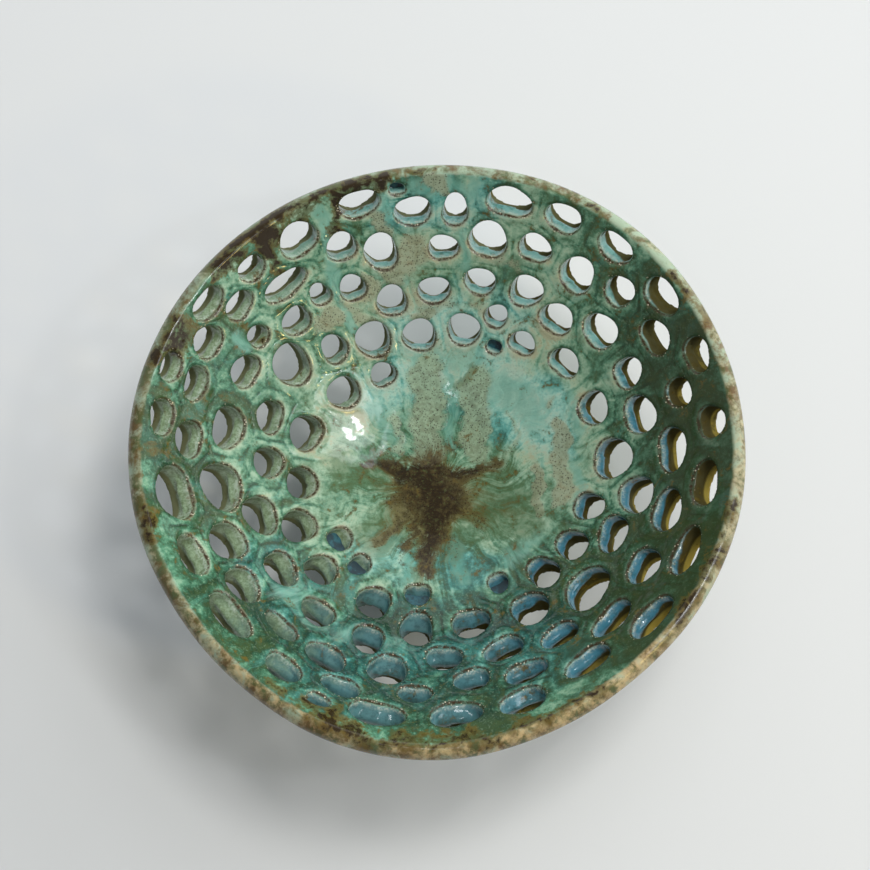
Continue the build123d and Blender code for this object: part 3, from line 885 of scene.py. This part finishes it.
plug_points, plug_faces = [], []
way_out = np.linspace(0, 1, PLUG_RINGS)
plug_share = np.concatenate([way_out, way_out[::-1]])
plug_lift = np.concatenate([PLUG_THICK + PLUG_HOLLOW * way_out**2, np.full(PLUG_RINGS, -0.1)])
plug_angle = np.arange(PLUG_ROUND) * 2 * np.pi / PLUG_ROUND
for place, across, upward, half_width, half_height, depth, _ in holes:
    if depth > PIT_LIMIT:
        continue
    outward = np.cross(across, upward)
    outward = outward if outward[2] > 0 else -outward
    run = plug_share[:, None] * (half_width + PLUG_SPREAD) * np.cos(plug_angle)[None]
    rise = plug_share[:, None] * (half_height + PLUG_SPREAD) * np.sin(plug_angle)[None]
    lift = np.broadcast_to((plug_lift - depth)[:, None], run.shape)
    start = sum(len(points) for points in plug_points)
    points = place + run[..., None] * across + rise[..., None] * upward + lift[..., None] * outward
    plug_points.append(points.reshape(-1, 3))
    ring, step = np.meshgrid(np.arange(2 * PLUG_RINGS - 1), np.arange(PLUG_ROUND), indexing="ij")
    ahead = (step + 1) % PLUG_ROUND
    quads = np.stack([ring * PLUG_ROUND + step, ring * PLUG_ROUND + ahead,
                      (ring + 1) * PLUG_ROUND + ahead, (ring + 1) * PLUG_ROUND + step], axis=-1)
    plug_faces += (quads.reshape(-1, 4) + start).tolist()
plug_piece = make_piece("glaze_plugs_glass", np.concatenate(plug_points), plug_faces, {})

plug_material, plug_shader, tone = new_material("plug_glass")
plug_place = tone.node("ShaderNodeTexCoord", {}, output="Object")
depths = tone.noise(plug_place, 400.0, detail=3.0)
plug_colour = depths.step(0.4, 0.7).mixed(DEEP_GLASS, CLEAR_GLASS)
tone.tree.links.new(plug_colour.socket, plug_shader.inputs["Base Color"])
plug_shader.inputs["Roughness"].default_value = 0.06
plug_piece.data.materials.append(plug_material)
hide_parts("glaze_plugs")


# Table, lights and camera
# A plain pale table in a room with bright walls and a darker ceiling, seen from nearly straight above. A
# key lamp, a soft lamp and a low one give the light. Small lamps and a pane in front and to the right give
# the glints on the glaze.
TABLE_PAINT = (0.695, 0.715, 0.725)
TABLE_BOUNCE = (0.4, 0.4, 0.39)  # the colour that lights the bowl from below
DIM_WALL = (0.26, 0.265, 0.27)
BRIGHT_WALL = (1.0, 1.03, 1.05)
CEILING = (0.2, 0.215, 0.23)
BOWL_MIDDLE = (0, 0, 0.03)
FOCAL_PIXELS = 1945.4
PICTURE_PIXELS = 870
CAMERA_AWAY = 0.6
LOOK_LEVEL = 0.07  # height of the point that the camera is aimed at
CAMERA_TILT = np.radians(14)

table_mesh = bpy.data.meshes.new("table")
table_mesh.from_pydata([(-3, -3, 0), (3, -3, 0), (3, 3, 0), (-3, 3, 0)], [], [(0, 1, 2, 3)])
table = bpy.data.objects.new("table", table_mesh)
bpy.context.collection.objects.link(table)
table_material, table_shader, tone = new_material("table_paint")
ray = tone.node("ShaderNodeLightPath", {}, output="Is Camera Ray")
ray = ray + tone.node("ShaderNodeLightPath", {}, output="Is Glossy Ray")
ray = ray + tone.node("ShaderNodeLightPath", {}, output="Is Transmission Ray")
seen = ray.step(0.2, 0.8).mixed(TABLE_BOUNCE, TABLE_PAINT)
tone.tree.links.new(seen.socket, table_shader.inputs["Base Color"])
table_shader.inputs["Roughness"].default_value = 0.9
table.data.materials.append(table_material)

scene = bpy.context.scene
scene.view_settings.view_transform = "Standard"
world = bpy.data.worlds.new("daylight")
scene.world = world
world.use_nodes = True
air = Tone(world.node_tree)
outward = air.node("ShaderNodeTexCoord", {}, output="Generated")
away_x, away_y, away_z = (air.node("ShaderNodeSeparateXYZ", {0: outward}, output=axis) for axis in "XYZ")
bright_side = (away_x * 0.65 + away_y * 0.75).step(-0.4, 0.9).mixed(DIM_WALL, BRIGHT_WALL)
ceiling = away_z.step(0.5, 0.95).mixed(bright_side, CEILING)
sky = world.node_tree.nodes["Background"]
world.node_tree.links.new(ceiling.socket, sky.inputs["Color"])
sky.inputs["Strength"].default_value = 1.0


def lamp(name, place, target, size, watts, colour):
    """A square area lamp at a place, facing a target, in metres: turned about x to lean, then about z."""
    light = bpy.data.lights.new(name, "AREA")
    light.energy = watts
    light.size = size
    light.color = colour
    holder = bpy.data.objects.new(name, light)
    bpy.context.collection.objects.link(holder)
    way = np.array(target) - np.array(place)
    flat = np.hypot(way[0], way[1])
    holder.rotation_euler = (np.arctan2(flat, -way[2]), 0, np.arctan2(way[0], -way[1]) + np.pi)
    holder.location = place
    return holder


lamp("window", (0.53, -0.11, 0.84), BOWL_MIDDLE, 0.065, 0.55, (0.97, 0.98, 1.0))
lamp("warm_lamp", (0.65, -0.46, 0.64), BOWL_MIDDLE, 0.1, 0.8, (1.0, 0.74, 0.26))
glow = lamp("window_glow", (0.57, -0.14, 0.86), BOWL_MIDDLE, 0.4, 1.8, (0.9, 0.96, 1.0))
glow.visible_diffuse = False
lamp("front_window", (-0.03, -0.4, 1.0), BOWL_MIDDLE, 0.08, 0.24, (0.95, 0.98, 1.0))
low = lamp("low_light", (1.7, 1.1, 0.66), (0, 0, 0.02), 1.2, 26.0, (1.0, 0.99, 0.97))
low.visible_glossy = False
key = lamp("key_light", (0.38, 0.34, 1.43), BOWL_MIDDLE, 0.4, 7.6, (1.0, 0.97, 0.92))
key.visible_glossy = False
soft = lamp("soft_light", (0.3, 0.6, 1.48), BOWL_MIDDLE, 1.0, 5.0, (0.97, 0.98, 1.0))
soft.visible_glossy = False

camera_data = bpy.data.cameras.new("camera")
camera_data.sensor_width = 36
camera_data.lens = FOCAL_PIXELS * camera_data.sensor_width / PICTURE_PIXELS
camera_data.shift_x = -0.0026
camera_data.shift_y = 0.0155
camera = bpy.data.objects.new("camera", camera_data)
bpy.context.collection.objects.link(camera)
camera.location = (0, -CAMERA_AWAY * np.sin(CAMERA_TILT), LOOK_LEVEL + CAMERA_AWAY * np.cos(CAMERA_TILT))
camera.rotation_euler = (CAMERA_TILT, 0, 0)
scene.camera = camera
